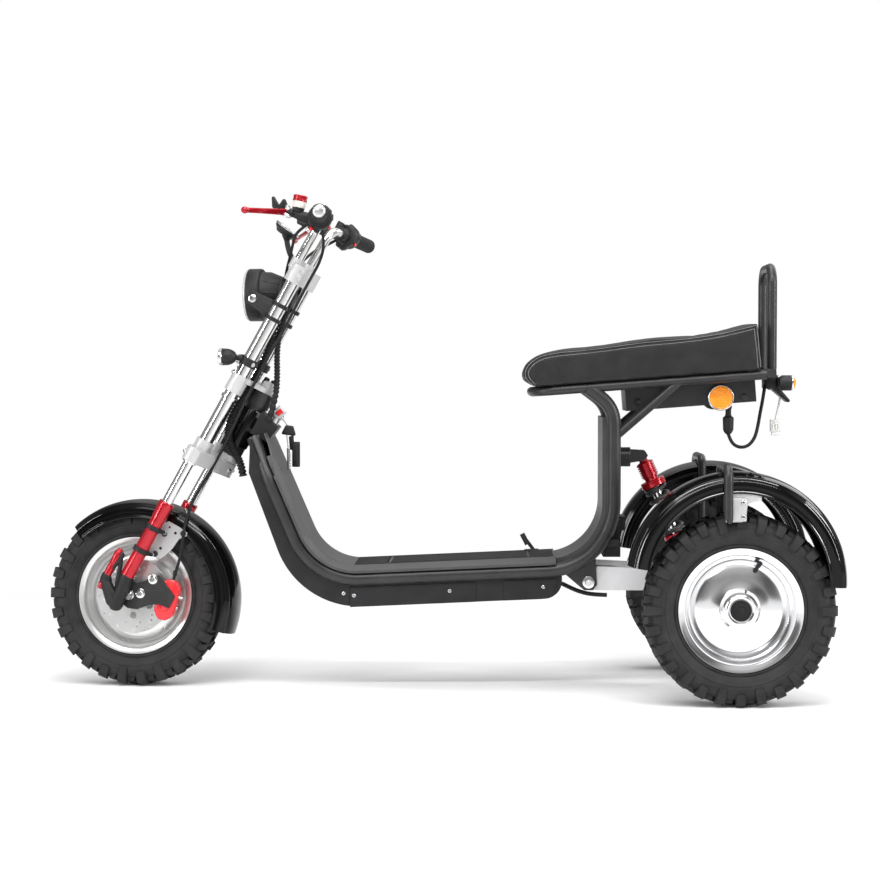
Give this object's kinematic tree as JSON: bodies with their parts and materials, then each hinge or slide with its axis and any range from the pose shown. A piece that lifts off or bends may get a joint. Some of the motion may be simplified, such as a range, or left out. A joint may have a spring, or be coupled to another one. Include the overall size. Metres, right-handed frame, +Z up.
{
  "type": "electric tricycle",
  "caption": "Electric leisure tricycle with a low deck, bench seat on bent rails, wide tyres under hooped rear fenders and a raked fork with a round headlamp.",
  "frame": {"origin": "on the floor under the middle of the machine's overall box", "axes": "+X forward, +Y to the rider's left, +Z up"},
  "size_m": [1.8436, 0.734, 1.1494],
  "materials": {
    "alloy": "satin, bead blasted",
    "arm_grey": "silver grey paint",
    "black_plastic": "moulded, fine grain",
    "chrome": "polished",
    "frame_black": "satin black powder coat",
    "gloss_black": "high gloss",
    "leather": "grained, matt black",
    "lens_clear": "clear",
    "red_paint": "red anodised look",
    "rim_polish": "turned and polished",
    "rubber": "matt, ribbed",
    "steel": "plain steel",
    "tyre": "matt rubber"
  },
  "bodies": {
    "chassis": {"backrest": "frame_black", "battery_pack": "black_plastic", "belly_tray": "black_plastic", "controller_box": "frame_black", "drive_motor": "alloy", "fender_hoops": "frame_black", "foot_pedal": "frame_black", "footboard": "black_plastic", "frame_rails": "frame_black", "front_skirt": "black_plastic", "head_tube": "frame_black", "ignition_box": "black_plastic", "key_switch": "steel", "pivot_brackets": "frame_black", "post_box": "black_plastic", "rear_calipers": "red_paint", "rear_fenders": "gloss_black", "riser_cover": "black_plastic", "seat": "leather", "seat_frame": "frame_black", "shock_absorber": "red_paint", "shock_mount": "frame_black", "shock_spring": "frame_black", "swingarm": "arm_grey", "tail_lamps": "black_plastic"},
    "fork": {"fork_tubes": "chrome", "steering_crown": "alloy", "upper_yoke": "alloy", "top_clamp": "chrome", "handlebar": "chrome", "grips": "rubber", "bar_switches": "black_plastic", "brake_levers": "red_paint", "fork_sliders": "red_paint", "fork_feet": "frame_black", "front_fender": "gloss_black", "headlamp_shell": "black_plastic", "headlamp_lens": "lens_clear", "front_signals": "black_plastic", "display": "black_plastic", "front_caliper": "red_paint", "fender_bracket": "alloy"},
    "front_wheel": {"front_tyre": "tyre", "front_rim": "rim_polish"},
    "rear_wheel_left": {"rear_tyre_left": "tyre", "rear_rim_left": "rim_polish"},
    "rear_wheel_right": {"rear_tyre_right": "tyre", "rear_rim_right": "rim_polish"},
    "deck_lid": {"battery_lid": "black_plastic"}
  },
  "joints": [
    {"name": "steering", "type": "hinge", "parent": "chassis", "child": "fork", "pos_m": [0.4063, 0, 0.7047], "axis": [-0.4833, 0, 0.8755], "range_deg": [-29.5, 46.5]},
    {"name": "front_wheel_spin", "type": "hinge", "parent": "fork", "child": "front_wheel", "pos_m": [0.71122, -0.00429, 0.21169], "axis": [0.1294, 0.989, 0.0714], "continuous": true},
    {"name": "rear_wheel_left_spin", "type": "hinge", "parent": "chassis", "child": "rear_wheel_left", "pos_m": [-0.6825, 0.275, 0.216], "axis": [0, 1, 0], "continuous": true},
    {"name": "rear_wheel_right_spin", "type": "hinge", "parent": "chassis", "child": "rear_wheel_right", "pos_m": [-0.6825, -0.275, 0.216], "axis": [0, 1, 0], "continuous": true},
    {"name": "lid_hinge", "type": "hinge", "parent": "chassis", "child": "deck_lid", "pos_m": [0.109, 0, 0.2935], "axis": [0, 1, 0], "range_deg": [0, 70]}
  ]
}
